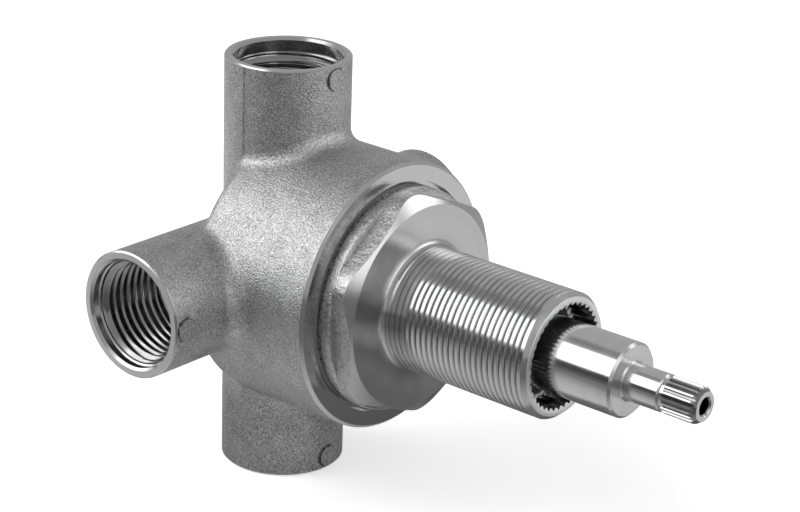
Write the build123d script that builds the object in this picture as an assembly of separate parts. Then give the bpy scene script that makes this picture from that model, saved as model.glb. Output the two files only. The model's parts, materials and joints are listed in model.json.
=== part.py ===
from build123d import *
import os

# Concealed diverter valve for a shower wall.
# A cast body carries four threaded ports in a cross. The bottom port is the
# inlet, and the left, top and right ports are outlets. A ceramic disc
# cartridge inside the drum opens one outlet at a time. A hexagon nut with a
# long threaded sleeve closes the drum, and a turned extension brings the
# spindle out through the sleeve to the handle.
# Millimetres. The origin is the centre of the bottom port's rim, +Z is up,
# and the spindle points along -Y. A distance "ahead" is measured from the
# plane of the port axes along the spindle, so ahead = -Y.

# Ports
port_reach = 43.5
port_outer_r = 12.75
port_rim_chamfer = 0.3
mouth_r = 10.75
mouth_depth = 1.8
top_mouth_depth = 4.5
mouth_chamfer = 0.5
thread_major_r = 10.48
thread_length = 14.5
thread_drill_r = 9.3
drill_runout = 1.5
duct_r = 5.6
duct_stop = 1.0
pad_r = 2.2
pad_height = 0.3
pad_inset = 2.7

# Drum
drum_back = 1.2
drum_front = 29.7
drum_back_round = 3.5
drum_front_chamfer = 0.6
junction_round = 3.0
ring_wall = 3.6
ring_side_gap = 1.0
ring_recess = 1.2
floor_ahead = 12.0
cavity_side_gap = 0.3
nut_thread_step = 1.0
nut_thread_depth = 9.3
thread_mouth_chamfer = 0.4

# Waterways through the floor
disc_web = 5.2
disc_land = 1.5
outlet_angles = (180, 90, 0)

# Pressed pins and bush
press_gap = 0.02

# Locating pins
pin_r = 1.5
pin_angles = (225, 315)
pin_in_body = 4.0
pin_in_base = 2.0
pin_end_gap = 0.2

# Cartridge base
base_r = 19.7
base_rim = 3.1
base_thickness = 5.6
pocket_depth = 3.0
pocket_gap = 0.3
key_width = 4.0
key_reach = 1.7
key_angles = (225, 315)
key_clearance = 0.1
rim_groove_depth = 1.4
rim_groove_width = 2.2
rim_groove_ahead = 1.0

# Face seals and gasket
seal_land = 0.6
seal_width = 1.4
seal_height = 1.3
seal_side_gap = 0.1
seal_corner = 0.35
gasket_thickness = 1.0

# Ceramic discs
fixed_disc_thickness = 3.8
moving_disc_thickness = 4.0
disc_side_gap = 0.6
water_pocket_depth = 2.4
disc_edge_chamfer = 0.3

# Disc driver
driver_thickness = 3.6
lug_width = 5.0
lug_depth = 2.0
lug_reach = 2.2
lug_angles = (30, 150)
lug_clearance = 0.1
stop_track_depth = 2.2
stem_foot_square = 9.0
foot_clearance = 0.05
foot_end_gap = 0.3

# Rotation stops
turn_each_way = 90.0
stop_angle = 270
stop_half_angle = 5.0
stop_play_angle = 0.5
stop_gap = 0.4

# Cartridge housing
flange_ledge = 1.1
housing_wall = 1.6
housing_flange_thickness = 2.6
driver_play = 0.3
roof_thickness = 4.0
roof_edge_chamfer = 1.0
stem_tube_r = 8.8
stem_tube_length = 11.7
stem_tube_chamfer = 0.5

# Stem and its seals
stem_r = 4.95
stem_running_gap = 0.05
stem_flange_r = 8.6
stem_flange_thickness = 1.7
stem_flange_gap = 0.4
washer_thickness = 0.8
stem_groove_depth = 1.25
stem_groove_width = 2.0
stem_groove_ahead = (1.2, 5.2)
stem_seal_running_gap = 0.02
stem_drive_square = 7.2
stem_drive_length = 11.5
circlip_play = 0.15
circlip_thickness = 0.9
circlip_groove_depth = 0.75
circlip_width = 2.6
circlip_opening_at = 270
circlip_opening_angle = 50
drive_shoulder = 0.9

# Nut with threaded sleeve
collar_overlap = 1.7
collar_thickness = 3.3
collar_round = 0.6
nut_seal_thickness = 0.8
nut_seal_gap = 0.1
hex_flat_inset = 1.55
hex_height = 4.3
hex_corner_round = 7.0
hex_turned = 37.5
hex_face_inset = 0.55
hex_chamfer_run = 1.9
skirt_clearance = 0.05
skirt_wall = 1.95
roof_gap = 0.4
sleeve_r = 12.5
sleeve_front = 71.6
sleeve_root_chamfer = 0.8
sleeve_end_chamfer = 1.0
sleeve_bore_r = 9.5
sleeve_rear_bore_r = 9.1
bush_shoulder = 52.0
serration_count = 40
serration_depth = 1.15
serration_length = 6.0

# Guide bush
bush_length = 6.0
bush_running_gap = 0.06
bush_chamfer = 0.4

# Spindle extension
extension_r = 7.3
extension_back_gap = 1.1
extension_front = 86.9
extension_chamfer = 0.5
drive_clearance = 0.05
drive_end_gap = 0.5
cross_pin_r = 1.25
cross_pin_ahead = 3.4
cross_pin_inset = 0.2
handle_neck_r = 3.66
handle_neck_length = 7.8
handle_neck_chamfer = 0.25
neck_root_chamfer = 0.3
spline_relief_r = 3.2
spline_relief_length = 0.8
spline_crest_r = 3.62
spline_root_r = 3.2
spline_length = 7.4
spline_taper_length = 1.2
spline_taper_height = 0.77
spline_teeth = 20
spline_flank_angle = 60
screw_hole_r = 1.65
screw_hole_depth = 12.0
screw_hole_chamfer = 0.35

# Places along the spindle that several pieces share
base_front = floor_ahead + base_thickness
pocket_bottom = base_front - pocket_depth
gasket_front = pocket_bottom + gasket_thickness
fixed_disc_front = gasket_front + fixed_disc_thickness
moving_disc_front = fixed_disc_front + moving_disc_thickness
driver_front = moving_disc_front + driver_thickness
roof_inner = driver_front + driver_play
roof_outer = roof_inner + roof_thickness
flange_front = base_front + housing_flange_thickness
stem_flange_front = driver_front + stem_flange_thickness
washer_front = stem_flange_front + washer_thickness
stem_tube_front = roof_outer + stem_tube_length
circlip_back = stem_tube_front + circlip_play
circlip_front = circlip_back + circlip_thickness
drive_back = circlip_front + drive_shoulder
drive_front = drive_back + stem_drive_length
ring_step = drum_front - ring_recess
collar_back = ring_step + nut_seal_thickness
collar_front = collar_back + collar_thickness
hex_front = collar_front + hex_height
extension_back = circlip_front + extension_back_gap
neck_front = extension_front + handle_neck_length
spline_back = neck_front + spline_relief_length
spline_front = spline_back + spline_length

# Radii that follow from the cartridge's size, outwards and inwards
cavity_r = base_r + cavity_side_gap
nut_thread_r = cavity_r + nut_thread_step
thread_face_r = nut_thread_r - skirt_clearance
skirt_inner_r = thread_face_r - skirt_wall
collar_r = nut_thread_r + collar_overlap
ring_inner_r = collar_r + ring_side_gap
drum_r = ring_inner_r + ring_wall
hex_across_flats = 2 * (collar_r - hex_flat_inset)
hex_face_r = hex_across_flats / 2 - hex_face_inset
housing_outer_r = base_r - flange_ledge
housing_inner_r = housing_outer_r - housing_wall
moving_disc_r = housing_inner_r - disc_side_gap
stop_track_r = moving_disc_r - stop_track_depth
fixed_disc_r = base_r - base_rim
pocket_r = fixed_disc_r + pocket_gap
water_hole_r = (fixed_disc_r - disc_web - disc_land) / 3
outlet_pitch_r = 2 * water_hole_r + disc_web
seal_inner_r = water_hole_r + seal_land
seal_outer_r = seal_inner_r + seal_width
pin_pitch_r = outlet_pitch_r

# Radii of the stem's fits
stem_bore_r = stem_r + stem_running_gap
stem_groove_r = stem_r - stem_groove_depth

spindle_axis = Axis((0, 0, port_reach), (0, -1, 0))
spindle_profile = Plane(origin=(0, 0, port_reach), x_dir=(1, 0, 0), z_dir=(0, 0, -1))
port_profile = Plane(origin=(0, 0, port_reach), x_dir=(1, 0, 0), z_dir=(0, -1, 0))
port_axis = Axis((0, 0, port_reach), (0, 0, 1))


def turned(*points):
    """Solid of revolution about the spindle, from points (radius, ahead)."""
    outline = make_face(spindle_profile * Polyline(*points, close=True))
    return revolve(outline, spindle_axis, 360)


def ring(inner, outer, back, front):
    """Plain ring about the spindle."""
    return turned((inner, back), (outer, back), (outer, front), (inner, front))


def pressed_ring(inner, outer, back, front):
    """Rubber ring pressed flat on four sides, with its corners left free."""
    return turned(
        (inner, back + seal_corner),
        (inner + seal_corner, back),
        (outer - seal_corner, back),
        (outer, back + seal_corner),
        (outer, front - seal_corner),
        (outer - seal_corner, front),
        (inner + seal_corner, front),
        (inner, front - seal_corner),
    )


def across(ahead):
    """Drawing plane square to the spindle, seen from the handle side."""
    return Plane(origin=(0, -ahead, port_reach), x_dir=(1, 0, 0), z_dir=(0, -1, 0))


def cut_out(sketch, back, front):
    """Sketch square to the spindle, pulled from one distance ahead to another."""
    return extrude(across(back) * sketch, front - back)


def at_angles(sketch, radius, angles):
    """Copies of a sketch round the spindle, each turned to face outwards."""
    copies = Sketch()
    for angle in angles:
        copies += Rot(0, 0, angle) * Pos(radius, 0) * sketch
    return copies


def pie(radius, start, sweep):
    """Sector of a disc, for stops and openings."""
    arc = CenterArc((0, 0), radius, start, sweep)
    return make_face(arc + Line(arc @ 1, (0, 0)) + Line((0, 0), arc @ 0))


def water_holes():
    """Inlet hole in the middle and one hole for each outlet."""
    return Circle(water_hole_r) + at_angles(Circle(water_hole_r), outlet_pitch_r, outlet_angles)


# Valve body
# The drum is turned about the spindle, with a rounded back edge and a machined
# front ring. The ports are round tubes that meet in the middle and run into
# the drum with a cast radius.
with BuildSketch(spindle_profile) as drum_half:
    with BuildLine():
        Line((0, -drum_back), (drum_r - drum_back_round, -drum_back))
        RadiusArc(
            (drum_r - drum_back_round, -drum_back),
            (drum_r, drum_back_round - drum_back),
            -drum_back_round,
        )
        Line((drum_r, drum_back_round - drum_back), (drum_r, drum_front - drum_front_chamfer))
        Line((drum_r, drum_front - drum_front_chamfer), (drum_r - drum_front_chamfer, drum_front))
        Line((drum_r - drum_front_chamfer, drum_front), (0, drum_front))
        Line((0, drum_front), (0, -drum_back))
    make_face()
body = revolve(drum_half.sketch, spindle_axis, 360)

port_tube = revolve(
    make_face(
        port_profile
        * Polyline(
            (0, 0),
            (port_outer_r, 0),
            (port_outer_r, port_reach - port_rim_chamfer),
            (port_outer_r - port_rim_chamfer, port_reach),
            (0, port_reach),
            close=True,
        )
    ),
    port_axis,
    360,
)
port_turns = (0, 90, 180, 270)
for turn in port_turns:
    body += port_tube.rotate(spindle_axis, turn)


def is_cast_corner(edge):
    """Inside corners where tubes meet the drum or each other."""
    spots = [edge @ t for t in (0.0, 0.5, 1.0)]
    ahead = [-spot.Y for spot in spots]
    on_drum_back = edge.geom_type == GeomType.LINE and max(abs(a + drum_back) for a in ahead) < 0.01
    return edge.geom_type in (GeomType.BSPLINE, GeomType.ELLIPSE) or on_drum_back


body = body.fillet(junction_round, [edge for edge in body.edges() if is_cast_corner(edge)])

# A small round cast pad sits on the front of each port, near its rim.
pad = cut_out(Pos(0, port_reach - pad_inset) * Circle(pad_r), 0, port_outer_r + pad_height)
for turn in port_turns:
    body += pad.rotate(spindle_axis, turn)


def port_bore(depth, duct_end):
    """Mouth, thread bore, drill point and duct of one port, along the top port's axis."""
    thread_start = port_reach - depth - (mouth_r - thread_major_r)
    thread_end = thread_start - thread_length
    drill_end = thread_end - drill_runout
    outline = Polyline(
        (0, port_reach),
        (mouth_r + mouth_chamfer, port_reach),
        (mouth_r, port_reach - mouth_chamfer),
        (mouth_r, port_reach - depth),
        (thread_major_r, thread_start),
        (thread_major_r, thread_end),
        (thread_drill_r, thread_end - (thread_major_r - thread_drill_r)),
        (thread_drill_r, drill_end),
        (duct_r, drill_end - (thread_drill_r - duct_r)),
        (duct_r, duct_end),
        (0, duct_end),
        close=True,
    )
    return revolve(make_face(port_profile * outline), port_axis, 360)


# Each duct stops a little short of the far side of the water hole it feeds.
outlet_duct_end = outlet_pitch_r - water_hole_r + duct_stop
inlet_duct_end = duct_stop - water_hole_r
body -= port_bore(top_mouth_depth, outlet_duct_end)
body -= port_bore(mouth_depth, outlet_duct_end).rotate(spindle_axis, 90)
body -= port_bore(mouth_depth, inlet_duct_end).rotate(spindle_axis, 180)
body -= port_bore(mouth_depth, outlet_duct_end).rotate(spindle_axis, 270)

# The open front of the drum: recess in the ring, nut thread, cartridge cavity.
body -= turned(
    (0, floor_ahead),
    (cavity_r, floor_ahead),
    (cavity_r, ring_step - nut_thread_depth - (nut_thread_r - cavity_r)),
    (nut_thread_r, ring_step - nut_thread_depth),
    (nut_thread_r, ring_step - thread_mouth_chamfer),
    (nut_thread_r + thread_mouth_chamfer, ring_step),
    (ring_inner_r, ring_step),
    (ring_inner_r, drum_front),
    (0, drum_front),
)
body -= cut_out(water_holes(), 0, floor_ahead)
body -= cut_out(
    at_angles(Circle(pin_r), pin_pitch_r, pin_angles),
    floor_ahead - pin_in_body,
    floor_ahead,
)

# Locating pins, pressed into the floor
locating_pins = cut_out(
    at_angles(Circle(pin_r - press_gap), pin_pitch_r, pin_angles),
    floor_ahead - pin_in_body,
    floor_ahead + pin_in_base,
)

# Cartridge base
# It stands on the floor of the drum. Each water hole has a seal groove round
# it at the back, and keys in the front pocket stop the fixed disc turning.
base = ring(0, base_r, floor_ahead, base_front)
key = Rectangle(2 * key_reach, key_width)
pocket = Circle(pocket_r) - at_angles(key, pocket_r, key_angles)
base -= cut_out(pocket, pocket_bottom, base_front)
base -= cut_out(water_holes(), floor_ahead, base_front)
groove = Circle(seal_outer_r) - Circle(seal_inner_r)
base -= cut_out(groove + at_angles(groove, outlet_pitch_r, outlet_angles), floor_ahead, floor_ahead + seal_height)
base -= cut_out(
    at_angles(Circle(pin_r), pin_pitch_r, pin_angles),
    floor_ahead,
    floor_ahead + pin_in_base + pin_end_gap,
)
rim_groove_back = floor_ahead + rim_groove_ahead
base -= ring(base_r - rim_groove_depth, base_r, rim_groove_back, rim_groove_back + rim_groove_width)


# Face seals between the floor and the base, pressed flat on both faces
def face_seal(pitch, angle):
    """Rubber ring round one water hole."""
    inner = seal_inner_r + seal_side_gap
    solid = pressed_ring(inner, seal_outer_r - seal_side_gap, floor_ahead, floor_ahead + seal_height)
    return (Pos(pitch, 0, 0) * solid).rotate(spindle_axis, angle)


inlet_seal = face_seal(0, 0)
left_outlet_seal = face_seal(outlet_pitch_r, 180)
top_outlet_seal = face_seal(outlet_pitch_r, 90)
right_outlet_seal = face_seal(outlet_pitch_r, 0)

# Rim seal between the base and the wall of the cavity
rim_seal = pressed_ring(
    base_r - rim_groove_depth,
    cavity_r,
    rim_groove_back + seal_side_gap,
    rim_groove_back + rim_groove_width - seal_side_gap,
)

# Rubber gasket and fixed ceramic disc, both notched for the keys
key_notch = Rectangle(2 * (key_reach + key_clearance), key_width + 2 * key_clearance)
disc_outline = Circle(fixed_disc_r) - at_angles(key_notch, pocket_r, key_angles) - water_holes()
disc_gasket = cut_out(disc_outline, pocket_bottom, gasket_front)
fixed_disc = cut_out(disc_outline, gasket_front, fixed_disc_front)

# Moving ceramic disc
# A blind pocket in its back face joins the inlet to one outlet at a time.
water_pocket = SlotCenterToCenter(outlet_pitch_r, 2 * water_hole_r)
moving_disc = turned(
    (0, fixed_disc_front),
    (moving_disc_r, fixed_disc_front),
    (moving_disc_r, moving_disc_front - disc_edge_chamfer),
    (moving_disc_r - disc_edge_chamfer, moving_disc_front),
    (0, moving_disc_front),
)
moving_disc -= cut_out(
    Rot(0, 0, 90) * Pos(outlet_pitch_r / 2, 0) * water_pocket,
    fixed_disc_front,
    fixed_disc_front + water_pocket_depth,
)
lug_slot = Rectangle(2 * (lug_reach + lug_clearance), lug_width + 2 * lug_clearance)
moving_disc -= cut_out(
    at_angles(lug_slot, moving_disc_r, lug_angles),
    moving_disc_front - lug_depth - lug_clearance,
    moving_disc_front,
)

# Disc driver
# Two lugs turn the moving disc. Its rim is cut back over the swept angle, and
# the ends of that track meet the stop rib of the housing.
track_sweep = 2 * (turn_each_way + stop_half_angle + stop_play_angle)
track = pie(moving_disc_r + stop_track_depth, stop_angle - track_sweep / 2, track_sweep) - Circle(stop_track_r)
foot_hole = Rectangle(stem_foot_square + 2 * foot_clearance, stem_foot_square + 2 * foot_clearance)
disc_driver = cut_out(Circle(moving_disc_r) - track - foot_hole, moving_disc_front, driver_front)
lug = Circle(moving_disc_r) & at_angles(Rectangle(2 * lug_reach, lug_width), moving_disc_r, lug_angles)
disc_driver += cut_out(lug, moving_disc_front - lug_depth, moving_disc_front)

# Cartridge housing
# A cup over the discs with a flange that the nut clamps, and a tube that
# carries the stem.
housing = turned(
    (housing_inner_r, base_front),
    (base_r, base_front),
    (base_r, flange_front),
    (housing_outer_r, flange_front),
    (housing_outer_r, roof_outer - roof_edge_chamfer),
    (housing_outer_r - roof_edge_chamfer, roof_outer),
    (stem_tube_r, roof_outer),
    (stem_tube_r, stem_tube_front - stem_tube_chamfer),
    (stem_tube_r - stem_tube_chamfer, stem_tube_front),
    (stem_bore_r, stem_tube_front),
    (stem_bore_r, washer_front),
    (stem_flange_r + stem_flange_gap, washer_front),
    (stem_flange_r + stem_flange_gap, roof_inner),
    (housing_inner_r, roof_inner),
)
stop_outer_r = housing_inner_r + housing_wall / 2
stop_rib = pie(stop_outer_r, stop_angle - stop_half_angle, 2 * stop_half_angle) - Circle(stop_track_r + stop_gap)
housing += cut_out(stop_rib, moving_disc_front + driver_play, roof_inner)

# Thrust washer between the stem's flange and the roof
thrust_washer = ring(stem_bore_r, stem_flange_r, stem_flange_front, washer_front)

# Stem
# From the back: square foot in the driver, flange, round shaft with two seal
# grooves and a circlip groove, and a square that drives the extension.
stem = ring(0, stem_flange_r, driver_front, stem_flange_front)
stem += ring(0, stem_r, stem_flange_front, drive_back)
foot_back = moving_disc_front + foot_end_gap
stem += cut_out(Rectangle(stem_foot_square, stem_foot_square), foot_back, driver_front)
stem_drive = Rectangle(stem_drive_square, stem_drive_square) & Circle(stem_r)
stem += cut_out(stem_drive, drive_back, drive_front)
for groove_ahead in stem_groove_ahead:
    groove_back = roof_outer + groove_ahead
    stem -= ring(stem_groove_r, stem_r, groove_back, groove_back + stem_groove_width)
stem -= ring(stem_r - circlip_groove_depth, stem_r, circlip_back, circlip_front)


def stem_seal(groove_ahead):
    """Rubber ring that sits in a groove of the stem and runs in the bore."""
    back = roof_outer + groove_ahead + seal_side_gap
    front = roof_outer + groove_ahead + stem_groove_width - seal_side_gap
    return pressed_ring(stem_groove_r, stem_bore_r - stem_seal_running_gap, back, front)


rear_stem_seal = stem_seal(stem_groove_ahead[0])
front_stem_seal = stem_seal(stem_groove_ahead[1])

# Circlip in front of the stem's tube, open at the bottom
circlip_inner_r = stem_r - circlip_groove_depth
circlip_outline = Circle(circlip_inner_r + circlip_width) - Circle(circlip_inner_r)
circlip_outline -= pie(stem_tube_r, circlip_opening_at - circlip_opening_angle / 2, circlip_opening_angle)
stem_circlip = cut_out(circlip_outline, circlip_back, circlip_front)

# Hexagon nut with the threaded sleeve, one piece
# The collar seats on a flat washer in the ring's recess. The skirt behind it
# screws into the drum and clamps the housing's flange.
nut = turned(
    (skirt_inner_r, flange_front),
    (thread_face_r, flange_front),
    (thread_face_r, collar_back),
    (collar_r, collar_back),
    (collar_r, collar_front - collar_round),
    (collar_r - collar_round, collar_front),
    (sleeve_rear_bore_r, collar_front),
    (sleeve_rear_bore_r, roof_outer + roof_gap),
    (skirt_inner_r, roof_outer + roof_gap),
)
hexagon = RegularPolygon(hex_across_flats / 2, 6, major_radius=False, rotation=hex_turned)
hexagon = fillet(hexagon.vertices(), hex_corner_round) - Circle(sleeve_rear_bore_r)
hex_blank = turned(
    (0, collar_front),
    (hex_face_r + hex_height * hex_chamfer_run, collar_front),
    (hex_face_r, hex_front),
    (0, hex_front),
)
nut += cut_out(hexagon, collar_front, hex_front) & hex_blank
nut += turned(
    (sleeve_rear_bore_r, hex_front),
    (sleeve_r + sleeve_root_chamfer, hex_front),
    (sleeve_r, hex_front + sleeve_root_chamfer),
    (sleeve_r, sleeve_front - sleeve_end_chamfer),
    (sleeve_r - sleeve_end_chamfer, sleeve_front),
    (sleeve_bore_r, sleeve_front),
    (sleeve_bore_r, bush_shoulder),
    (sleeve_rear_bore_r, bush_shoulder),
)
# Fine serrations inside the mouth hold the handle's stop ring. Each gap is a
# triangle with equal sides, its corner outwards.
tooth_gap = RegularPolygon(serration_depth, 3)
serration = PolarLocations(sleeve_bore_r, serration_count) * tooth_gap
nut -= cut_out(Sketch() + serration, sleeve_front - serration_length, sleeve_front)

# Flat sealing washer under the collar
nut_seal = ring(nut_thread_r + nut_seal_gap, collar_r - nut_seal_gap, ring_step, collar_back)

# Guide bush, pressed against the shoulder inside the sleeve
bush_front = bush_shoulder + bush_length
guide_bush = turned(
    (extension_r + bush_running_gap, bush_shoulder),
    (sleeve_bore_r - press_gap, bush_shoulder),
    (sleeve_bore_r - press_gap, bush_front),
    (extension_r + bush_running_gap + bush_chamfer, bush_front),
    (extension_r + bush_running_gap, bush_front - bush_chamfer),
)

# Spindle extension, turned in one piece with the handle's neck and spline
extension = turned(
    (0, extension_back),
    (extension_r - extension_chamfer, extension_back),
    (extension_r, extension_back + extension_chamfer),
    (extension_r, extension_front - extension_chamfer),
    (extension_r - extension_chamfer, extension_front),
    (handle_neck_r + neck_root_chamfer, extension_front),
    (handle_neck_r, extension_front + neck_root_chamfer),
    (handle_neck_r, neck_front - handle_neck_chamfer),
    (handle_neck_r - handle_neck_chamfer, neck_front),
    (spline_relief_r, neck_front),
    (spline_relief_r, spline_back),
    (spline_crest_r, spline_back),
    (spline_crest_r, spline_front - spline_taper_length),
    (spline_crest_r - spline_taper_height, spline_front),
    (screw_hole_r + screw_hole_chamfer, spline_front),
    (screw_hole_r, spline_front - screw_hole_chamfer),
    (screw_hole_r, spline_front - screw_hole_depth),
    (0, spline_front - screw_hole_depth - screw_hole_r),
)
spline_depth = spline_crest_r - spline_root_r
spline_gap = Trapezoid(2 * spline_depth, spline_depth, spline_flank_angle)
spline_gap = Pos(spline_root_r + spline_depth / 2, 0) * Rot(0, 0, 90) * spline_gap
spline_gaps = Sketch() + PolarLocations(0, spline_teeth) * spline_gap
extension -= cut_out(spline_gaps, spline_back, spline_front)
drive_hole = stem_drive_square + 2 * drive_clearance
extension -= cut_out(Rectangle(drive_hole, drive_hole), extension_back, drive_front + drive_end_gap)

# Cross pin that holds the extension on the stem
pin_centre = extension_back + cross_pin_ahead
pin_plane = Plane(origin=(0, -pin_centre, port_reach), x_dir=(0, 1, 0), z_dir=(1, 0, 0))
pin_bore = extrude(pin_plane * Circle(cross_pin_r + press_gap), extension_r, both=True)
extension -= pin_bore
stem -= pin_bore
cross_pin = extrude(pin_plane * Circle(cross_pin_r), extension_r - cross_pin_inset, both=True)

pieces = {
    "valve_body": body,
    "locating_pins": locating_pins,
    "cartridge_base": base,
    "inlet_seal": inlet_seal,
    "left_outlet_seal": left_outlet_seal,
    "top_outlet_seal": top_outlet_seal,
    "right_outlet_seal": right_outlet_seal,
    "rim_seal": rim_seal,
    "disc_gasket": disc_gasket,
    "fixed_disc": fixed_disc,
    "moving_disc": moving_disc,
    "disc_driver": disc_driver,
    "cartridge_housing": housing,
    "thrust_washer": thrust_washer,
    "stem": stem,
    "rear_stem_seal": rear_stem_seal,
    "front_stem_seal": front_stem_seal,
    "stem_circlip": stem_circlip,
    "sleeve_nut": nut,
    "nut_seal": nut_seal,
    "guide_bush": guide_bush,
    "spindle_extension": extension,
    "cross_pin": cross_pin,
}
os.makedirs("parts", exist_ok=True)
for name, piece in pieces.items():
    export_step(piece, f"parts/{name}.step")
    print(name, round(piece.volume, 1))
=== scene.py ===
# %% [markdown]
# # A concealed diverter valve, dressed in Blender
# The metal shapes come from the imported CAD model. This lesson gives them their
# finish: a sand-cast body, turned faces, cut threads and a bright spindle. The
# first cell clears the stage and loads the frame, so that every piece we make
# sits in the same place as the solid it belongs to.

# %% Load the frame
import json
import math
import bmesh
import bpy
import numpy as np
from mathutils import Matrix, Vector

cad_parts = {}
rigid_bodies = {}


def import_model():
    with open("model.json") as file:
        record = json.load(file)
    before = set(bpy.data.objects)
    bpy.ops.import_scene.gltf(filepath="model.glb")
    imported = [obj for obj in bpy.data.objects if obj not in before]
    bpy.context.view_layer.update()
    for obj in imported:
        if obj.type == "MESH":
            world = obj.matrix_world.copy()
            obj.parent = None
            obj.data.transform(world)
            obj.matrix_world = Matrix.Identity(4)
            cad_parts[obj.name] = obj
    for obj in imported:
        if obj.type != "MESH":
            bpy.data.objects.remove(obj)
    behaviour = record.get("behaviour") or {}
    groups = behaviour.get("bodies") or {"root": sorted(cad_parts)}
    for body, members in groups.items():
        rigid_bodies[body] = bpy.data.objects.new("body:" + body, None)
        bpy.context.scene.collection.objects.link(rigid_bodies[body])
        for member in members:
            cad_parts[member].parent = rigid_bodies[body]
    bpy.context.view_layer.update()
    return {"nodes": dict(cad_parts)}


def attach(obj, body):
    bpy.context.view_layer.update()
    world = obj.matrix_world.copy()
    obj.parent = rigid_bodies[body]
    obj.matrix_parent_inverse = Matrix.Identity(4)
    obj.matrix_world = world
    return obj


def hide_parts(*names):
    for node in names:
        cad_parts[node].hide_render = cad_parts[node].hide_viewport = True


for extra in list(bpy.data.objects):
    bpy.data.objects.remove(extra)
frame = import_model()
cad = frame["nodes"]

# %% [markdown]
# Blender works in metres and this valve in millimetres, so sizes are written in
# millimetres and turned into metres in one place. Nearly everything here is
# round about one of five lines: the spindle, or one of the four ports. A
# placing matrix for each lets us draw a piece upright, along its own z, and
# then set it on its line. The spindle leaves the drum along -Y.

# %% Units and the five axes
MM = 0.001
PORT_REACH, SPINDLE_END = 43.5, 102.9


def axis_frame(x_to, y_to, z_to):
    """Matrix that sets a piece drawn along z, in mm, on a line through the port axes' centre."""
    turn = Matrix((x_to, y_to, z_to)).transposed().to_4x4()
    return Matrix.Translation((0, 0, PORT_REACH * MM)) @ turn @ Matrix.Scale(MM, 4)


X, Y, Z = Vector((1, 0, 0)), Vector((0, 1, 0)), Vector((0, 0, 1))
SPINDLE = axis_frame(X, Z, -Y)
PORTS = {
    "top": axis_frame(X, Y, Z),
    "left": axis_frame(Z, Y, -X),
    "bottom": axis_frame(X, -Y, -Z),
    "right": axis_frame(Y, Z, X),
}
print("spindle tip at", SPINDLE @ Vector((0, 0, SPINDLE_END)))

# %% [markdown]
# A product photo is taken from one place, so the camera comes first: every
# later choice can then be judged in the final view. Its direction, distance and
# lens were worked out from the outline of the ports and of the long sleeve. A
# long lens keeps the ports nearly parallel, as they are in a catalogue picture.

# %% Camera
AZIMUTH, ELEVATION, ROLL = (math.radians(angle) for angle in (-50.1675, 21.3417, 2.0499))
DISTANCE = 481.644
FOCAL_PX = 2349.9
AIM_PX = (285.27, 257.05)
PICTURE_PX = (800, 512)
level_back = Vector((math.sin(AZIMUTH), -math.cos(AZIMUTH), 0.0))
back = level_back * math.cos(ELEVATION) + Z * math.sin(ELEVATION)
level_right = Vector((math.cos(AZIMUTH), math.sin(AZIMUTH), 0.0))
level_up = back.cross(level_right)
right = math.cos(ROLL) * level_right + math.sin(ROLL) * level_up
up = math.cos(ROLL) * level_up - math.sin(ROLL) * level_right
shift_right = (AIM_PX[0] - PICTURE_PX[0] / 2) * DISTANCE / FOCAL_PX
shift_up = (PICTURE_PX[1] / 2 - AIM_PX[1]) * DISTANCE / FOCAL_PX
eye = Vector((0, 0, PORT_REACH)) + back * DISTANCE - right * shift_right - up * shift_up

camera_data = bpy.data.cameras.new("Camera")
camera_data.sensor_width = 36.0
camera_data.lens = FOCAL_PX * camera_data.sensor_width / PICTURE_PX[0]
camera_data.clip_start = 0.01
camera = bpy.data.objects.new("Camera", camera_data)
bpy.context.scene.collection.objects.link(camera)
camera.matrix_world = Matrix.Translation(eye * MM) @ Matrix((right, up, back)).transposed().to_4x4()
bpy.context.scene.camera = camera
bpy.context.scene.view_settings.view_transform = "Standard"
print("camera at", [round(v, 4) for v in eye * MM], "lens", round(camera_data.lens, 2))

# %% [markdown]
# Shaders are small machines built from nodes, and most nodes here do plain
# arithmetic. These helpers make one node each and wire it up, so that later
# cells read like formulas. A value may be a number or another node's output.

# %% Node helpers
def wire(tree, value, socket):
    """Set a socket from a number, a colour or another node's output."""
    if isinstance(value, bpy.types.NodeSocket):
        tree.links.new(value, socket)
    else:
        socket.default_value = value


def calc(tree, operation, first, second=0.0, third=0.0):
    """One arithmetic step."""
    made = tree.nodes.new("ShaderNodeMath")
    made.operation = operation
    for value, socket in zip((first, second, third), made.inputs):
        wire(tree, value, socket)
    return made.outputs[0]


def ease(tree, value, low, high, at_low=0.0, at_high=1.0):
    """Smooth step of a value between two limits."""
    made = tree.nodes.new("ShaderNodeMapRange")
    made.interpolation_type = "SMOOTHSTEP"
    wire(tree, value, made.inputs["Value"])
    for name, number in (("From Min", low), ("From Max", high), ("To Min", at_low), ("To Max", at_high)):
        made.inputs[name].default_value = number
    return made.outputs["Result"]


def noise(tree, vector, per_mm, detail=3.0, roughness=0.55):
    """Cloudy pattern with so many cells in each millimetre."""
    made = tree.nodes.new("ShaderNodeTexNoise")
    wire(tree, vector, made.inputs["Vector"])
    made.inputs["Scale"].default_value = per_mm / MM
    made.inputs["Detail"].default_value = detail
    made.inputs["Roughness"].default_value = roughness
    return made.outputs["Fac"]


def raised(tree, height, depth_mm, normal=None):
    """Bump from a height of 0 to 1 that stands for a depth in mm."""
    made = tree.nodes.new("ShaderNodeBump")
    made.inputs["Distance"].default_value = depth_mm * MM
    wire(tree, height, made.inputs["Height"])
    if normal is not None:
        tree.links.new(normal, made.inputs["Normal"])
    return made.outputs["Normal"]


def blend(tree, share, first, second):
    """Number between two others."""
    made = tree.nodes.new("ShaderNodeMix")
    for value, socket in zip((share, first, second), (made.inputs[0], made.inputs[2], made.inputs[3])):
        wire(tree, value, socket)
    return made.outputs[0]


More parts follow.
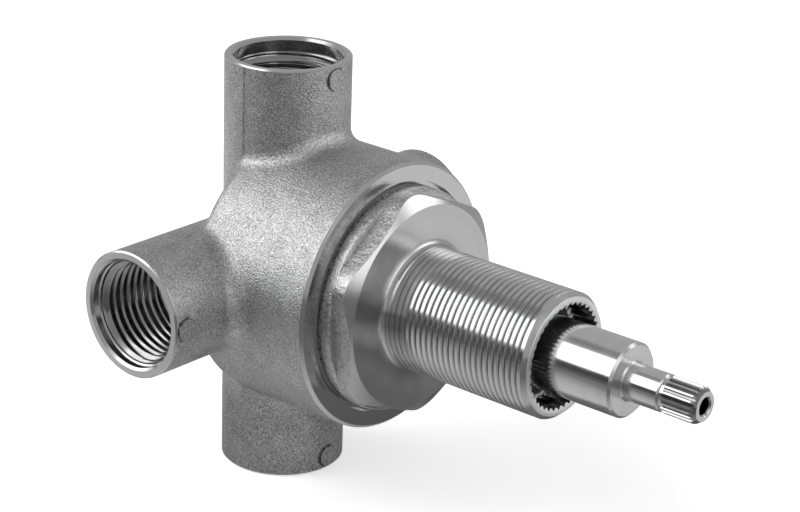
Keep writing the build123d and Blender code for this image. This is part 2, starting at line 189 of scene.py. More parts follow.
def joined(tree, x, y, z):
    """Vector from three numbers."""
    made = tree.nodes.new("ShaderNodeCombineXYZ")
    for value, socket in zip((x, y, z), made.inputs):
        wire(tree, value, socket)
    return made.outputs[0]


print("node helpers ready")

# %% [markdown]
# Bright metal shows the room more than it shows itself, so the studio is built
# before any metal. The world is drawn from directions: a pale room, a bright
# softbox high on the left, and a dark card just below it. Together they give
# the sleeve and the spindle their white and black bands. The softbox and the
# card are long strips beside the spindle, so their edges are given as angles
# round it and stay crisp. Each of the other patches is measured by its angle
# from a centre, with a soft edge.

# %% Studio world
world = bpy.data.worlds.new("Studio")
bpy.context.scene.world = world
world.use_nodes = True
sky = world.node_tree
sky.nodes.clear()
sky_direction = sky.nodes.new("ShaderNodeTexCoord").outputs["Generated"]
ROOM_LIGHT, DARKEST = 0.55, 0.02
PATCHES = (
    # towards, full light within, nothing beyond (degrees), strength
    ((0.70, -0.60, 0.36), 6, 20, 2.0),
    ((0.05, -0.92, 0.30), 8, 30, 1.4),
    ((-0.42, 0.83, 0.38), 6, 24, 0.5),
    ((-0.68, 0.20, 0.70), 6, 24, 0.6),
    ((-0.04, 0.60, 0.80), 3, 13, -0.28),
)
STRIPS = (
    # round the spindle from and to (degrees), edge, strength
    (110, 162, 4, 2.0),
    (165, 200, 5, -0.47),
)
# no strip in front of the first share of the way back, all of it behind the second
STRIP_ENDS = (0.1, 0.3)


def patch(towards, inner, outer, strength):
    """Light inside an angle from a direction, fading to nothing."""
    near = sky.nodes.new("ShaderNodeVectorMath")
    near.operation = "DOT_PRODUCT"
    near.inputs[1].default_value = Vector(towards).normalized()
    sky.links.new(sky_direction, near.inputs[0])
    limits = math.cos(math.radians(outer)), math.cos(math.radians(inner))
    return ease(sky, near.outputs["Value"], *limits, 0.0, strength)


def strip(start, end, edge, strength):
    """Light between two angles round the spindle's line, fading out towards the front."""
    inside = ease(sky, round_spindle, start - edge / 2, start + edge / 2)
    inside = calc(sky, "MULTIPLY", inside, ease(sky, round_spindle, end - edge / 2, end + edge / 2, 1.0, 0.0))
    return calc(sky, "MULTIPLY", inside, ease(sky, sky_parts.outputs[1], *STRIP_ENDS, 0.0, strength))


sky_parts = sky.nodes.new("ShaderNodeSeparateXYZ")
sky.links.new(sky_direction, sky_parts.inputs[0])
turn = calc(sky, "ARCTAN2", sky_parts.outputs[2], sky_parts.outputs[0])
turn = calc(sky, "MULTIPLY", turn, 180 / math.pi)
round_spindle = calc(sky, "MULTIPLY_ADD", calc(sky, "LESS_THAN", turn, 0.0), 360.0, turn)
light = ROOM_LIGHT
for settings in PATCHES:
    light = calc(sky, "ADD", light, patch(*settings))
for settings in STRIPS:
    light = calc(sky, "ADD", light, strip(*settings))
light = calc(sky, "MAXIMUM", light, DARKEST)
print("patches:", len(PATCHES), "strips:", len(STRIPS))

# %% [markdown]
# The metal should see the room just drawn, but the picture needs plain white
# behind the valve. The light path node tells the camera's own rays from all
# others, so one world can serve both. That is simpler than a white wall, which
# would light the metal too.

# %% White behind the valve
seen = sky.nodes.new("ShaderNodeBackground")
sky.links.new(light, seen.inputs["Strength"])
white = sky.nodes.new("ShaderNodeBackground")
white.inputs["Color"].default_value = (1, 1, 1, 1)
ray = sky.nodes.new("ShaderNodeLightPath")
choose = sky.nodes.new("ShaderNodeMixShader")
output = sky.nodes.new("ShaderNodeOutputWorld")
sky.links.new(ray.outputs["Is Camera Ray"], choose.inputs[0])
sky.links.new(seen.outputs[0], choose.inputs[1])
sky.links.new(white.outputs[0], choose.inputs[2])
sky.links.new(choose.outputs[0], output.inputs["Surface"])
print("world nodes:", len(sky.nodes))

# %% [markdown]
# The floor is a plain pale sheet under the bottom port. Seen straight on, it is
# lifted to the white of the picture but keeps a soft shadow. Seen in the metal
# it carries painted shade: it turns darker farther out, most of all towards the
# camera and the left, as a table does in a dark room, and that gives the ports
# their shaded side. Three round spots of painted shade lie on it near the
# object, standing in for its shadow there, and tone down the metal that faces
# the floor.

# %% Floor
# painted shade on the floor, seen only in the metal: darker towards the camera, the back left and the right
SIDES = (
    # towards, starts, full (metres), how much darker
    ((-0.86, -0.51, 0.0), 0.0, 0.13, 0.68),
    ((-0.80, 0.60, 0.0), 0.19, 0.28, 0.78),
    ((0.94, 0.34, 0.0), 0.10, 0.22, 0.36),
)
# painted shade: round spots near the object, standing in for its shadow on the floor, seen only in the metal
SHADE_SPOTS = (
    # centre, full within, nothing beyond (metres), how much darker
    ((0.03, -0.078, 0.0), 0.036, 0.054, 0.62),
    ((0.050, -0.030, 0.0), 0.018, 0.038, 0.62),
    ((-0.01, 0.045, 0.0), 0.035, 0.08, 0.42),
)
FLOOR_SIZE, FLOOR_GAP = 6.0, 0.2 * MM
PAPER, LIFT = 0.86, 0.5
bpy.ops.mesh.primitive_plane_add(size=FLOOR_SIZE, location=(0, 0, -FLOOR_GAP))
floor = bpy.context.object
floor.name = "floor"
paper = bpy.data.materials.new("studio_paper")
paper.use_nodes = True
tree = paper.node_tree
surface = tree.nodes["Principled BSDF"]
surface.inputs["Roughness"].default_value = 0.9
surface.inputs["Specular IOR Level"].default_value = 0.1
ray = tree.nodes.new("ShaderNodeLightPath")
glow = calc(tree, "MULTIPLY", ray.outputs["Is Camera Ray"], LIFT)
surface.inputs["Emission Color"].default_value = (1, 1, 1, 1)
wire(tree, glow, surface.inputs["Emission Strength"])
spot = tree.nodes.new("ShaderNodeTexCoord").outputs["Object"]


def measured(operation, point):
    """Distance of the floor's points from a point, or how far they lie towards it."""
    made = tree.nodes.new("ShaderNodeVectorMath")
    made.operation = operation
    made.inputs[1].default_value = point
    tree.links.new(spot, made.inputs[0])
    return made.outputs["Value"]


shade = 0.0
for way, starts, full, darker in SIDES:
    side = ease(tree, measured("DOT_PRODUCT", way), starts, full, 0.0, darker)
    shade = calc(tree, "MAXIMUM", shade, side)
for centre, full, nothing, darker in SHADE_SPOTS:
    shade_spot = ease(tree, measured("DISTANCE", centre), full, nothing, darker, 0.0)
    shade = calc(tree, "MAXIMUM", shade, shade_spot)
shade = calc(tree, "MULTIPLY", shade, ray.outputs["Is Glossy Ray"])
pale = calc(tree, "SUBTRACT", PAPER, shade)
wire(tree, joined(tree, pale, pale, pale), surface.inputs["Base Color"])
floor.data.materials.append(paper)
print("floor shades:", len(SIDES), "sides and", len(SHADE_SPOTS), "shade_spots")

# %% [markdown]
# One large round lamp, high behind on the left, lays the soft shadow on the
# floor. The metal doesn't reflect it, because the softbox drawn in the world
# already shows there and one bright spot is enough.

# %% Lamp
LAMP_AT, LAMP_AIM = Vector((-0.57, 0.50, 0.75)), Vector((0, 0, 0.04))
lamp_data = bpy.data.lights.new("Softbox", "AREA")
lamp_data.shape = "DISK"
lamp_data.size = 0.6
lamp_data.energy = 4.0
lamp = bpy.data.objects.new("Softbox", lamp_data)
bpy.context.scene.collection.objects.link(lamp)
lamp.location = LAMP_AT
lamp.rotation_euler = (LAMP_AIM - LAMP_AT).to_track_quat("-Z", "Y").to_euler()
lamp.visible_glossy = False
print("lamp", lamp_data.energy, "W")

# %% [markdown]
# The metals that show all start from one plain grey. The cast and the turned
# ones then ask each point where it lies: how far across, how far ahead of the
# port axes, how high. The masks below use those three numbers to tell where the
# cutter has been after casting: the port rims and bores, and the ring and
# inside of the drum. Painting the same by hand would take a picture file.

# %% Where the cutter has been
def metal(name, colour):
    """New metal of one plain grey, its nodes, shader and the object's own coordinates."""
    material = bpy.data.materials.new(name)
    material.use_nodes = True
    nodes = material.node_tree
    shader = nodes.nodes["Principled BSDF"]
    shader.inputs["Metallic"].default_value = 1.0
    shader.inputs["Base Color"].default_value = (colour, colour, colour, 1)
    return material, nodes, shader, nodes.nodes.new("ShaderNodeTexCoord").outputs["Object"]


def grey(tree, value):
    """Grey colour from one number."""
    return joined(tree, value, value, value)


def valve_axes(tree, coordinates):
    """Distances in mm: across, ahead of the port axes and above them."""
    parts = tree.nodes.new("ShaderNodeSeparateXYZ")
    tree.links.new(coordinates, parts.inputs[0])
    across = calc(tree, "DIVIDE", parts.outputs[0], MM)
    ahead = calc(tree, "DIVIDE", parts.outputs[1], -MM)
    above = calc(tree, "MULTIPLY_ADD", parts.outputs[2], 1 / MM, -PORT_REACH)
    return across, ahead, above


def length(tree, first, second):
    """Distance from two legs."""
    second_squared = calc(tree, "MULTIPLY", second, second)
    return calc(tree, "SQRT", calc(tree, "MULTIPLY_ADD", first, first, second_squared))


# in millimetres: the machined places, and the round pads on the ports
RING_FACE, DRUM_BORE_R, DRUM_FLOOR = 29.05, 24.0, 13.5
RIM_CUT, BORE_R, BORE_FROM = 0.35, 11.5, 20.0
PAD_AT, PAD_R, PAD_FRONT = 40.8, 2.3, 6.0


def machined_places(tree, across, ahead, above):
    """Two masks, 1 where the cutter has been: everywhere, and in the port bores alone."""
    done = calc(tree, "GREATER_THAN", ahead, RING_FACE)
    inside = calc(tree, "LESS_THAN", length(tree, across, above), DRUM_BORE_R)
    inside = calc(tree, "MULTIPLY", inside, calc(tree, "GREATER_THAN", ahead, DRUM_FLOOR))
    done = calc(tree, "MAXIMUM", done, inside)
    bores = 0.0
    for along, beside in ((across, above), (above, across)):
        out = calc(tree, "ABSOLUTE", along)
        rim = calc(tree, "GREATER_THAN", out, PORT_REACH - RIM_CUT)
        bore = calc(tree, "LESS_THAN", length(tree, beside, ahead), BORE_R)
        bore = calc(tree, "MULTIPLY", bore, calc(tree, "GREATER_THAN", out, BORE_FROM))
        bores = calc(tree, "MAXIMUM", bores, bore)
        done = calc(tree, "MAXIMUM", done, calc(tree, "MAXIMUM", rim, bore))
    return done, bores


def pad_edge(tree, across, ahead, above):
    """1 on the thin mould line round the pad of each port, else 0."""
    first, second = calc(tree, "ABSOLUTE", across), calc(tree, "ABSOLUTE", above)
    out = calc(tree, "SUBTRACT", calc(tree, "MAXIMUM", first, second), PAD_AT)
    away = length(tree, out, calc(tree, "MINIMUM", first, second))
    off_edge = calc(tree, "ABSOLUTE", calc(tree, "SUBTRACT", away, PAD_R))
    line = ease(tree, off_edge, 0.08, 0.24, 1.0, 0.0)
    return calc(tree, "MULTIPLY", line, calc(tree, "GREATER_THAN", ahead, PAD_FRONT))


print("bores cut to", BORE_R, "mm, pads at", PAD_AT, "mm")

# %% [markdown]
# The body is a brass casting. Sand leaves a fine grain with larger, lazy waves
# under it, a few dark specks and faint stains, and the cutter then leaves
# bright, finely ringed faces. One material does both and changes over at the
# masks. The lower port is painted a little darker than the rest, as the shade
# it lies in under the drum and the nut.

# %% Cast body material
# millimetres under the port axes, for the painted shade on the lower port: darker from here, fully dark
# there, and how much
LOW_FROM, LOW_FULL, LOW_PAINTED_SHADE = 21.0, 32.0, 0.11
cast, tree, shader, here = metal("cast_brass", 0.45)
across, ahead, above = valve_axes(tree, here)
cut, bores = machined_places(tree, across, ahead, above)
grain = noise(tree, here, 3.0, 2.0, 0.65)
clumps = noise(tree, here, 0.8, 3.0, 0.6)
waves = noise(tree, here, 0.10, 2.0, 0.5)
stains = noise(tree, here, 0.22, 4.0, 0.6)
specks = ease(tree, noise(tree, here, 0.9, 2.0, 0.5), 0.66, 0.74, 0.0, 0.16)
tone = ease(tree, stains, 0.3, 0.7, 0.46, 0.54)
tone = calc(tree, "SUBTRACT", tone, specks)
# painted shade: darker towards the bottom, on the lower port, for the shade under the drum and the nut
tone = calc(tree, "SUBTRACT", tone, ease(tree, above, -LOW_FULL, -LOW_FROM, LOW_PAINTED_SHADE, 0.0))
tone = calc(tree, "ADD", tone, ease(tree, grain, 0.34, 0.68, -0.16, 0.20))
pad_line = calc(tree, "MULTIPLY", pad_edge(tree, across, ahead, above), 0.22)
tone = calc(tree, "SUBTRACT", tone, pad_line)
cut_tone = blend(tree, bores, 0.62, 0.56)
wire(tree, grey(tree, blend(tree, cut, tone, cut_tone)), shader.inputs["Base Color"])
gloss = ease(tree, clumps, 0.3, 0.7, 0.32, 0.44)
wire(tree, blend(tree, cut, gloss, 0.16), shader.inputs["Roughness"])
rough_skin = raised(tree, waves, 0.25)
rough_skin = raised(tree, clumps, 0.06, rough_skin)
rough_skin = raised(tree, grain, 0.16, rough_skin)
out = calc(tree, "MULTIPLY", length(tree, across, above), MM)
turning = noise(tree, joined(tree, out, 0.0, 0.0), 4.0, 2.0)
cut_skin = raised(tree, turning, 0.012)
which = tree.nodes.new("ShaderNodeMix")
which.data_type = "VECTOR"
tree.links.new(cut, which.inputs[0])
tree.links.new(rough_skin, which.inputs[4])
tree.links.new(cut_skin, which.inputs[5])
tree.links.new(which.outputs[1], shader.inputs["Normal"])
print("cast brass nodes:", len(tree.nodes))

# %% [markdown]
# Turned metal carries fine rings from the cutting tool. They run round the axis,
# so the pattern may change along the axis and outwards, but never round it. A
# direction for the grooves is given to the shader as well, with a quarter turn,
# so that it stretches every highlight across them: that draws the bright fans
# on a turned face. The gaps between the splines at the spindle's end are
# painted dark, as the shade that lies in them.

# %% Turned and threaded metal
# millimetres along the spindle, and the radius over the teeth
SPLINE_FROM, SPLINE_TO, SPLINE_R = 95.4, 102.8, 3.62


def turned_metal(name, colour, roughness, stretch, marks_mm, dull_face=0.0):
    """Metal with tool marks round the spindle; its flat front faces may be duller."""
    material, tree, shader, here = metal(name, colour)
    across, ahead, above = valve_axes(tree, here)
    out = calc(tree, "MULTIPLY", length(tree, across, above), MM)
    along = calc(tree, "MULTIPLY", ahead, MM)
    rings = noise(tree, joined(tree, out, along, 0.0), 3.0, 3.0, 0.65)
    bands = noise(tree, joined(tree, out, along, 0.0), 0.5, 2.0, 0.5)
    smear = noise(tree, here, 0.25, 3.0, 0.6)
    worn = calc(tree, "MULTIPLY_ADD", rings, 0.10, calc(tree, "MULTIPLY_ADD", smear, 0.16, roughness - 0.13))
    facing = tree.nodes.new("ShaderNodeSeparateXYZ")
    tree.links.new(tree.nodes.new("ShaderNodeNewGeometry").outputs["True Normal"], facing.inputs[0])
    dull = ease(tree, calc(tree, "ABSOLUTE", facing.outputs[1]), 0.8, 0.95, 0.0, dull_face)
    worn = calc(tree, "MULTIPLY_ADD", dull, 0.8, worn)
    wire(tree, worn, shader.inputs["Roughness"])
    tone = calc(tree, "MULTIPLY_ADD", bands, 0.12, calc(tree, "MULTIPLY_ADD", smear, 0.08, colour - 0.10))
    tarnish = calc(tree, "MULTIPLY_ADD", smear, 0.8, 0.2)
    tone = calc(tree, "SUBTRACT", tone, calc(tree, "MULTIPLY", dull, tarnish))
    on_spline = calc(tree, "GREATER_THAN", ahead, SPLINE_FROM)
    on_spline = calc(tree, "MULTIPLY", on_spline, calc(tree, "LESS_THAN", ahead, SPLINE_TO))
    # painted shade: the gaps between the splines are darker
    groove_shade = ease(tree, out, (SPLINE_R - 0.34) * MM, (SPLINE_R - 0.08) * MM, 0.42, 0.0)
    tone = calc(tree, "SUBTRACT", tone, calc(tree, "MULTIPLY", on_spline, groove_shade))
    wire(tree, grey(tree, tone), shader.inputs["Base Color"])
    wire(tree, raised(tree, rings, marks_mm), shader.inputs["Normal"])
    shader.inputs["Anisotropic"].default_value = stretch
    shader.inputs["Anisotropic Rotation"].default_value = 0.25
    tangent = tree.nodes.new("ShaderNodeTangent")
    tangent.direction_type = "RADIAL"
    tangent.axis = "Y"
    tree.links.new(tangent.outputs[0], shader.inputs["Tangent"])
    return material


turned = turned_metal("turned_brass", 0.60, 0.22, 0.7, 0.010)
threaded = turned_metal("threaded_brass", 0.64, 0.16, 0.0, 0.003)
bright = turned_metal("bright_spindle", 0.74, 0.16, 0.75, 0.0015, 0.16)
# painted shade: a darker metal for the threads deep inside the ports and the spindle's tapped hole
shaded_thread = turned_metal("shaded_thread_brass", 0.37, 0.16, 0.0, 0.003)
fresh_cut = turned_metal("fresh_cut_brass", 0.84, 0.42, 0.0, 0.02)
print("turned metals:", [made.name for made in (turned, threaded, bright, shaded_thread, fresh_cut)])

# %% [markdown]
# The nut's flats and its collar were never turned. They keep the skin of the
# forging: duller than a cut face, finely pitted, and livelier in its shine than
# the sand-cast body. Two patterns are enough, one for the pits and one for the
# soft dents.

# %% Forged metal
forged, tree, shader, here = metal("forged_brass", 0.5)
grain = noise(tree, here, 2.0, 2.0, 0.6)
clumps = noise(tree, here, 0.6, 3.0, 0.6)
tone = ease(tree, clumps, 0.3, 0.7, 0.47, 0.59)
tone = calc(tree, "ADD", tone, ease(tree, grain, 0.35, 0.72, -0.10, 0.12))
wire(tree, grey(tree, tone), shader.inputs["Base Color"])
wire(tree, ease(tree, grain, 0.3, 0.7, 0.25, 0.39), shader.inputs["Roughness"])
wire(tree, raised(tree, grain, 0.11, raised(tree, clumps, 0.13)), shader.inputs["Normal"])
print("forged metal nodes:", len(tree.nodes))

# %% [markdown]
# Most parts inside the drum don't show from outside, but they are real pieces
# and get real finishes: black rubber, ivory ceramic, grey plastic, a fibre
# washer and plain steel. A short recipe makes all of them, each with its own
# grain, gloss and small relief.

# %% Finishes of the inner pieces
def plain_finish(name, colour, metallic, roughness, per_mm, depth_mm):
    """Simple finish with some grain in its colour, gloss and relief."""
    material = bpy.data.materials.new(name)
    material.use_nodes = True
    tree = material.node_tree
    shader = tree.nodes["Principled BSDF"]
    shader.inputs["Metallic"].default_value = metallic
    here = tree.nodes.new("ShaderNodeTexCoord").outputs["Object"]
    pattern = noise(tree, here, per_mm, 3.0)
    tone = tree.nodes.new("ShaderNodeMix")
    tone.data_type = "RGBA"
    tree.links.new(pattern, tone.inputs[0])
    tone.inputs[6].default_value = (*(0.88 * c for c in colour), 1)
    tone.inputs[7].default_value = (*(min(1.12 * c, 1.0) for c in colour), 1)
    tree.links.new(tone.outputs[2], shader.inputs["Base Color"])
    wire(tree, ease(tree, pattern, 0.2, 0.8, roughness - 0.05, roughness + 0.07), shader.inputs["Roughness"])
    wire(tree, raised(tree, pattern, depth_mm), shader.inputs["Normal"])
    return material


INNER = {
    plain_finish("black_rubber", (0.03, 0.03, 0.03), 0.0, 0.62, 1.5, 0.02): (
        "inlet_seal", "left_outlet_seal", "top_outlet_seal", "right_outlet_seal",
        "rim_seal", "disc_gasket", "rear_stem_seal", "front_stem_seal",
    ),
    plain_finish("disc_ceramic", (0.82, 0.80, 0.74), 0.0, 0.18, 0.8, 0.002): ("fixed_disc", "moving_disc"),
    plain_finish("grey_plastic", (0.30, 0.31, 0.32), 0.0, 0.42, 0.6, 0.01): (
        "cartridge_base", "disc_driver", "thrust_washer",
    ),
    plain_finish("fibre_washer", (0.40, 0.40, 0.40), 0.0, 0.85, 1.2, 0.03): ("nut_seal",),
    plain_finish("plain_steel", (0.52, 0.52, 0.52), 1.0, 0.30, 1.0, 0.006): (
        "locating_pins", "stem_circlip", "cross_pin",
    ),
}
METAL_NODES = {
    cast: ("valve_body",),
    turned: ("cartridge_housing", "stem", "guide_bush"),
    bright: ("spindle_extension",),
}
for material, names in {**INNER, **METAL_NODES}.items():
    for name in names:
        for place_in in cad[name].material_slots:
            place_in.material = material
print("finished CAD nodes:", sum(len(names) for names in {**INNER, **METAL_NODES}.values()))

# %% [markdown]
# Turned work is round about one line, so one helper can make all of it. It takes
# rows of points, each row a closed ring, and joins them with four-sided faces.
# For a screw thread the rows climb as they go round, so the end of one row meets
# the start of a later one: that is what `climb` is for.

# %% Lathe helper
AROUND = 240
angles = np.arange(AROUND) * 2 * math.pi / AROUND


def ring_points(radius, ahead):
    """Points of one ring in mm, from radius and height, each one number or one per angle."""
    x, y, z = np.broadcast_arrays(radius * np.cos(angles), radius * np.sin(angles), ahead)
    return np.stack((x, y, z), axis=-1)


def add_rows(bm, rows, climb=0):
    """Faces between rows of points; with climb, row k runs on into row k + climb."""
    verts = [[bm.verts.new(point) for point in row] for row in rows]
    for k, (below, above) in enumerate(zip(verts, verts[1:])):
        for j in range(AROUND - 1):
            bm.faces.new((below[j], below[j + 1], above[j + 1], above[j]))
        if k + climb + 1 < len(verts):
            bm.faces.new((below[-1], verts[k + climb][0], verts[k + climb + 1][0], above[-1]))


def finish_mesh(bm, name, placing, material, crisp=32.0):
    """Merge meeting points, keep sharp turns crisp, and make the object."""
    bmesh.ops.remove_doubles(bm, verts=bm.verts, dist=0.0004)
    bmesh.ops.dissolve_degenerate(bm, edges=bm.edges, dist=0.0004)
    bmesh.ops.recalc_face_normals(bm, faces=bm.faces)
    for face in bm.faces:
        face.smooth = True
    for edge in bm.edges:
        edge.smooth = not (edge.is_manifold and edge.calc_face_angle(0.0) > math.radians(crisp))
    holes = sum(1 for edge in bm.edges if not edge.is_manifold)
    mesh = bpy.data.meshes.new(name)
    bm.to_mesh(mesh)
    bm.free()
    mesh.transform(placing)
    mesh.materials.append(material)
    made = bpy.data.objects.new(name, mesh)
    bpy.context.scene.collection.objects.link(made)
    print(name, "faces:", len(mesh.polygons), "open edges:", holes)
    return made


print("points in a ring:", AROUND)

# %% [markdown]
# A thread is a groove that climbs by one pitch for each turn. The points are
# laid along that climb, so every crest is one clean line of edges and never a
# row of steps. At each end the climb is cut off level, and over the last part
# of a turn the groove runs out, as it does where a cutter starts and stops. The
# sleeve's thread has wide flat crests with narrow grooves, which catch the
# softbox as bright bars; the pipe threads in the ports are rounder.

# %% Thread helper
ROUND_THREAD = (
    # share of the pitch, share of the depth
    (0.0, 0.0), (0.1, 0.02), (0.2, 0.16), (0.3, 0.42), (0.4, 0.74),
    (0.5, 0.96), (0.6, 1.0), (0.7, 0.74), (0.8, 0.42), (0.9, 0.14),
)
FLAT_THREAD = (
    (0.0, 0.0), (0.25, 0.0), (0.5, 0.0), (0.55, 0.06), (0.62, 0.4),
    (0.70, 0.95), (0.75, 1.0), (0.80, 0.95), (0.88, 0.4), (0.95, 0.06),
)
STEPS = len(ROUND_THREAD)


def thread_rows(start, end, pitch, surface_r, groove_r, end_r, profile, fade=0.8):
    """Rows of a thread from start to end; the surface ends at surface_r and end_r."""
    rows = []
    for k in range(-STEPS, (int((end - start) / pitch) + 2) * STEPS + 1):
        at, depth = profile[k % STEPS]
        held = np.clip(start + pitch * (k // STEPS + at + angles / (2 * math.pi)), start, end)
        cut_r = surface_r + (groove_r - surface_r) * depth
        first = np.clip((held - start) / (fade * pitch), 0, 1)
        last = np.clip((end - held) / (fade * pitch), 0, 1)
        radius = end_r + (surface_r + (cut_r - surface_r) * first - end_r) * last
        rows.append(ring_points(radius, held))
    return rows


def threaded_loop(name, thread, rings, placing, material, crisp=32.0):
    """Closed piece: a thread, and the plain rings that lead from its end back to its start."""
    start, end, _, surface_r, _, end_r = thread[:6]
    bm = bmesh.new()
    add_rows(bm, thread_rows(*thread), STEPS)
    add_rows(bm, [ring_points(*ring) for ring in ((end_r, end), *rings, (surface_r, start))])
    return finish_mesh(bm, name, placing, material, crisp)


print("thread steps to a turn:", STEPS)

# %% [markdown]
# The nut and its sleeve are one piece, and the next two cells make it. First
# come its sizes, and the radius at each angle of the places that aren't round.
# On the hexagon each ring is a rounded six-sided shape, and where the turned
# cone meets a flat the ring dips back: this makes the curved edges that a real
# nut shows. The serrations in the mouth are forty V-shaped gaps, with six
# points of the ring to each. The mouth is turned open to the bottom of the
# gaps, so the teeth stand back from the end face on a slope and show only on
# the far side.

# %% Sizes of the nut
HEX_FLATS, HEX_ROUND, HEX_TURNED = 42.3, 7.0, math.radians(37.5)
HEX_FACE_R, HEX_RUN, HEX_FRONT = 20.6, 1.9, 36.9
HEX_MIDDLE, FACE_MIDDLE_R = 34.2, 17.0
COLLAR_R, COLLAR_BACK, COLLAR_FRONT, COLLAR_ROUND = 22.7, 29.3, 32.6, 0.7
SKIRT_R, SKIRT_BORE_R, SKIRT_END, SKIRT_FLOOR = 20.95, 19.0, 20.2, 31.7
FRONT_BORE_R, REAR_BORE_R, BORE_STEP = 9.5, 9.1, 52.0
SLEEVE_R, SLEEVE_ROOT_R, SLEEVE_PITCH = 12.5, 11.85, 1.337
THREAD_FROM, THREAD_TO = 38.4, 70.6
MOUTH_END, MOUTH_SLOPE, TEETH_END, LIP_R, LIP_CUT = 71.6, 0.35, 65.8, 11.6, 0.15
TOOTH_CREST_R, TOOTH_GAP_R = 10.1, 10.72
TOOTH = np.array([0.0, 0.1, 0.55, 1.0, 0.55, 0.1])


def hexagon(flats, corner):
    """Radius of a hexagon with rounded corners at each angle."""
    turn = np.mod(angles - HEX_TURNED + math.pi / 6, math.pi / 3) - math.pi / 6
    centre = (flats / 2 - corner) / math.cos(math.pi / 6)
    flat = flats / 2 / np.cos(math.pi / 6 - np.abs(turn))
    arc = centre * np.cos(turn) + np.sqrt(np.maximum(corner**2 - (centre * np.sin(turn)) ** 2, 0))
    limit = math.atan2(corner / 2, centre + corner * math.cos(math.pi / 6))
    return np.where(np.abs(turn) < limit, arc, flat)


def cone(radius):
    """How far ahead the hexagon's turned cone stands at a radius."""
    return HEX_FRONT - np.maximum(radius - HEX_FACE_R, 0) / HEX_RUN


hex_r = hexagon(HEX_FLATS, HEX_ROUND)
half_r = (hex_r + HEX_FACE_R) / 2
tooth_r = TOOTH_CREST_R + (TOOTH_GAP_R - TOOTH_CREST_R) * TOOTH[np.arange(AROUND) % len(TOOTH)]
mouth_r = TOOTH_GAP_R + 0.06
print("over the hexagon's corners:", round(2 * hex_r.max(), 2), "mm, serrations:", AROUND // len(TOOTH))

# %% [markdown]
# The outline starts where the thread ends, in front. It goes into the mouth,
# back through the bore, round the skirt inside the drum, out over the collar
# and the hexagon, and meets the thread again at the hollow in front of the
# nut's face. Forged, turned, threaded and freshly cut faces are told apart by
# place and tilt, so that one closed mesh can carry all four metals.

# %% Nut with its sleeve
mouth_rings = [
    (LIP_R + LIP_CUT, MOUTH_END - LIP_CUT), (LIP_R, MOUTH_END),
    (LIP_R - 0.4, MOUTH_END), (mouth_r, MOUTH_END),
    (tooth_r, MOUTH_END - MOUTH_SLOPE * (mouth_r - tooth_r)), (tooth_r, TEETH_END),
]
bore_rings = [
    (FRONT_BORE_R, TEETH_END - 0.2), (FRONT_BORE_R, BORE_STEP), (REAR_BORE_R, BORE_STEP),
    (REAR_BORE_R, SKIRT_FLOOR), (SKIRT_BORE_R, SKIRT_FLOOR), (SKIRT_BORE_R, SKIRT_END),
    (SKIRT_R, SKIRT_END), (SKIRT_R, COLLAR_BACK),
]
collar_rings = [(COLLAR_R - 0.2, COLLAR_BACK), (COLLAR_R, COLLAR_BACK + 0.2)]
for bend in np.radians((0, 30, 60, 90)):
    collar_rings.append((
        COLLAR_R - COLLAR_ROUND * (1 - math.cos(bend)),
        COLLAR_FRONT - COLLAR_ROUND * (1 - math.sin(bend)),
    ))
hexagon_rings = [
    (hex_r, COLLAR_FRONT), (hex_r, HEX_MIDDLE), (hex_r, cone(hex_r)), (half_r, cone(half_r)),
    (HEX_FACE_R, HEX_FRONT), (FACE_MIDDLE_R, HEX_FRONT),
]
HOLLOW = ((13.9, 0.0), (13.3, 0.1), (12.85, 0.35), (12.6, 0.8))
hollow_rings = [(radius, HEX_FRONT + ahead) for radius, ahead in HOLLOW]
nut_rings = mouth_rings + bore_rings + collar_rings + hexagon_rings + hollow_rings
sleeve_thread = (THREAD_FROM, THREAD_TO, SLEEVE_PITCH, SLEEVE_R, SLEEVE_ROOT_R, SLEEVE_R, FLAT_THREAD, 0.4)
nut = threaded_loop("nut_and_sleeve", sleeve_thread, nut_rings, SPINDLE, threaded, crisp=20.0)
for other_metal in (turned, forged, fresh_cut):
    nut.data.materials.append(other_metal)
TURNED, FORGED, FRESH = 1, 2, 3
to_spindle = SPINDLE.inverted()
for face in nut.data.polygons:
    spot = to_spindle @ face.center
    tilt = abs(face.normal.y)
    outside = math.hypot(spot.x, spot.y) > HEX_FACE_R + 0.1 and spot.z < HEX_FRONT - 0.01
    if outside and (tilt < 0.3 or spot.z < COLLAR_FRONT - 0.01):
        face.material_index = FORGED
    elif spot.z < THREAD_FROM - 0.4:
        face.material_index = TURNED
    elif spot.z > MOUTH_END - 0.4 and tilt > 0.5:
        face.material_index = FRESH
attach(nut, "valve")
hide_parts("sleeve_nut")
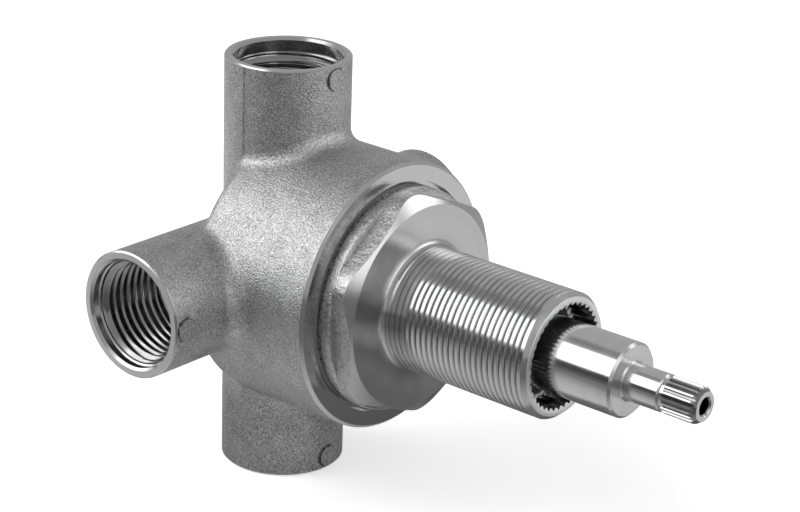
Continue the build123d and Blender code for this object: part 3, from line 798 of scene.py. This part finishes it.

# %% [markdown]
# Each port has a pipe thread cut inside, 1.814 mm from crest to crest. In the
# solid the bore is plain, so the thread is a thin lining set into it: its back
# lies inside the wall, and its ridges stand in from there. The top port's mouth
# is deeper than the others, so its thread starts lower, and its lining is
# thicker, to meet the wall of the mouth. The lining's metal is painted dark, as
# the shade deep inside the bore.

# %% Port threads
PIPE_PITCH, PIPE_ROOT_R, PIPE_CREST_R, PIPE_LENGTH = 1.814, 10.45, 9.32, 14.5
THREAD_STARTS = {
    # depth under the rim, radius of the lining's back
    "top": (2.9, 11.6),
    "left": (2.07, 10.62),
    "bottom": (2.07, 10.62),
    "right": (2.07, 10.62),
}
for name, (depth, back_r) in THREAD_STARTS.items():
    mouth = PORT_REACH - depth
    inner = mouth - PIPE_LENGTH
    lining = (inner, mouth, PIPE_PITCH, PIPE_CREST_R, PIPE_ROOT_R, PIPE_ROOT_R, ROUND_THREAD)
    rings = ((back_r, mouth), (back_r, inner))
    thread = threaded_loop(name + "_port_thread", lining, rings, PORTS[name], shaded_thread)
    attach(thread, "valve")

# %% [markdown]
# Where the two halves of the sand mould met, the casting keeps a thin raised
# line. It shows on the left side of the upper and lower ports. A long strip with
# a low three-sided section, sunk a little into the wall, is enough.

# %% Mould lines
LINE_FROM, LINE_TO, LINE_HALF, WALL, PROUD = 25.2, 43.1, 0.3, 12.66, 12.93
bm = bmesh.new()
for port in ("top", "bottom"):
    corners = [(-WALL, -LINE_HALF), (-PROUD, 0.0), (-WALL, LINE_HALF)]
    ends = []
    for z in (LINE_FROM, LINE_TO):
        ends.append([bm.verts.new(PORTS[port] @ Vector((x, y, z))) for x, y in corners])
        bm.faces.new(ends[-1])
    for j in range(3):
        bm.faces.new((ends[0][j - 1], ends[0][j], ends[1][j], ends[1][j - 1]))
bmesh.ops.recalc_face_normals(bm, faces=bm.faces)
line_mesh = bpy.data.meshes.new("mould_lines")
bm.to_mesh(line_mesh)
bm.free()
line_mesh.materials.append(cast)
mould_lines = bpy.data.objects.new("mould_lines", line_mesh)
bpy.context.scene.collection.objects.link(mould_lines)
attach(mould_lines, "valve")
print("mould lines:", len(line_mesh.polygons), "faces")

# %% [markdown]
# The end of the spindle is tapped for the handle's screw. Its thread is a small
# lining of the same kind, and it turns with the spindle.

# %% Screw thread in the spindle
SCREW_FROM, SCREW_TO = SPINDLE_END - 9.0, SPINDLE_END - 0.36
SCREW_PITCH, SCREW_CREST_R, SCREW_ROOT_R, SCREW_BACK_R = 0.7, 1.42, 1.64, 1.72
screw = (SCREW_FROM, SCREW_TO, SCREW_PITCH, SCREW_CREST_R, SCREW_ROOT_R, SCREW_ROOT_R, ROUND_THREAD)
rings = ((SCREW_BACK_R, SCREW_TO), (SCREW_BACK_R, SCREW_FROM))
# the tapped thread's metal is painted dark, as the shade inside the hole
tapped = threaded_loop("handle_screw_thread", screw, rings, SPINDLE, shaded_thread)
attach(tapped, "spindle")
